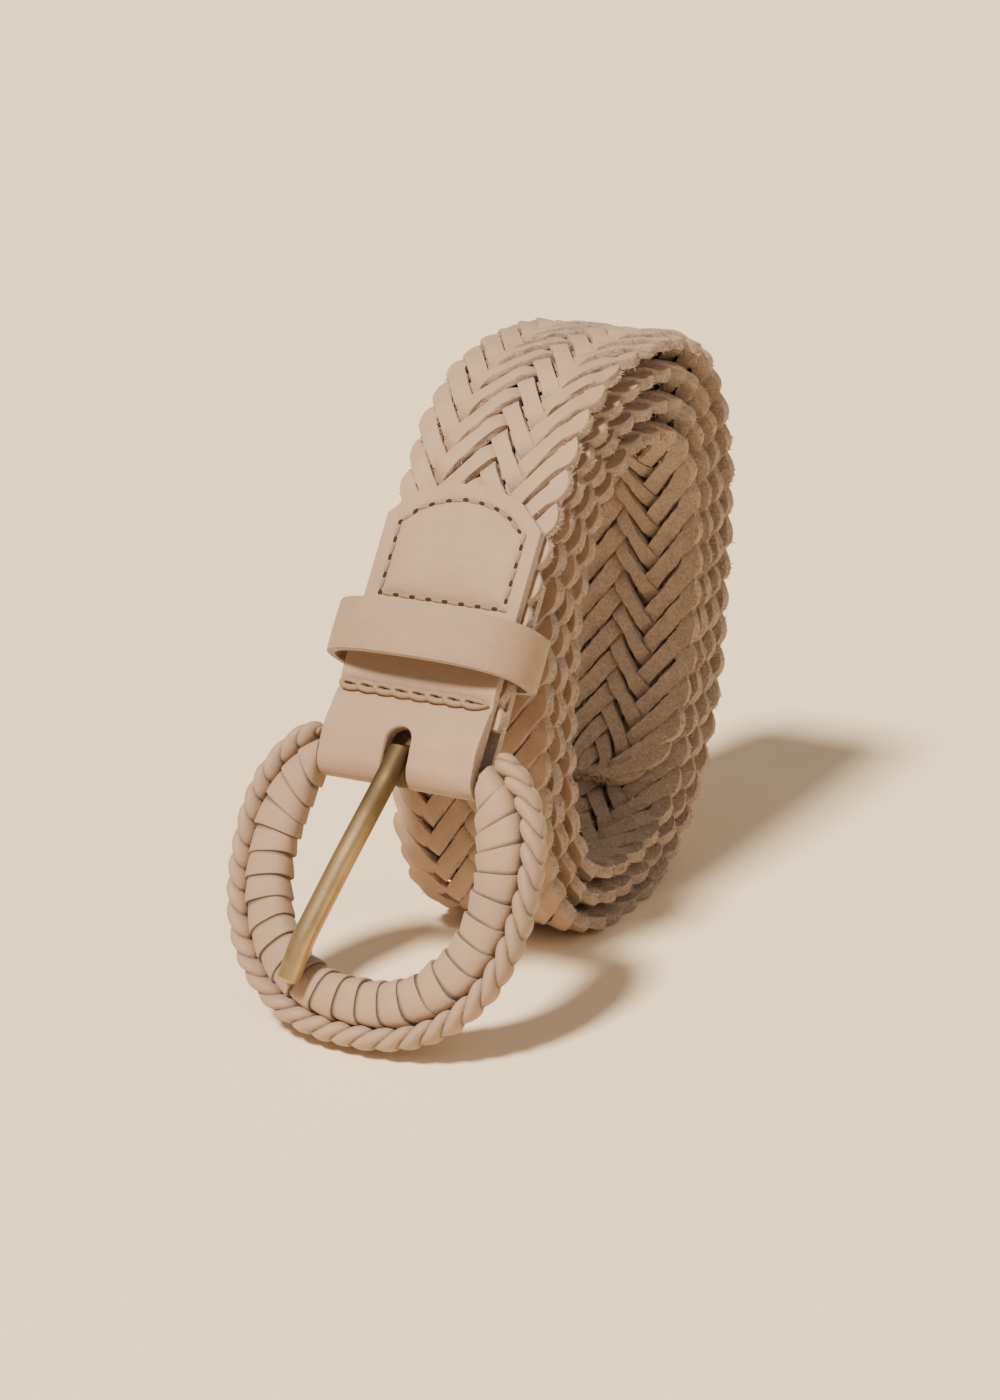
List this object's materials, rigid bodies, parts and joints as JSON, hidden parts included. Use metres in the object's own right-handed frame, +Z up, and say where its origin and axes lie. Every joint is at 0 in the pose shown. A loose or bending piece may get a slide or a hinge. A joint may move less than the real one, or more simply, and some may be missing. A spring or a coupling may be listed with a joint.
{
  "type": "plaited leather belt",
  "caption": "Plaited leather belt standing rolled up, with a lace-wrapped D buckle, a swinging brass prong, a stitched tab and a sliding keeper.",
  "frame": {"origin": "middle of the flat that the coil's outer turn stands on", "axes": "+X across the strap's width, -Y towards the buckle, +Z up"},
  "size_m": [0.071, 0.142, 0.122],
  "materials": {
    "leather": "matte",
    "thread": "matte",
    "brass": "satin"
  },
  "bodies": {
    "belt": {"strap_turn_1": "leather", "strap_turn_2": "leather", "strap_turn_3": "leather", "strap_turn_4": "leather", "strap_tip": "leather", "tab": "leather", "tab_stitches": "thread", "chain_stitches": "thread"},
    "keeper": {"keeper": "leather"},
    "buckle": {"buckle_frame": "brass", "lace_wrap": "leather", "rim_plait": "leather"},
    "prong": {"prong": "brass"}
  },
  "joints": [
    {"name": "buckle_swing", "type": "hinge", "parent": "belt", "child": "buckle", "pos_m": [0, -0.05577, 0.05146], "axis": [-1, 0, 0], "range_deg": [-30, 40]},
    {"name": "prong_swing", "type": "hinge", "parent": "buckle", "child": "prong", "pos_m": [0, -0.05577, 0.05146], "axis": [-1, 0, 0], "range_deg": [0, 42]},
    {"name": "keeper_slide", "type": "slide", "parent": "belt", "child": "keeper", "axis": [0, -0.6024, -0.7982], "range_m": [0, 0.0045]}
  ]
}
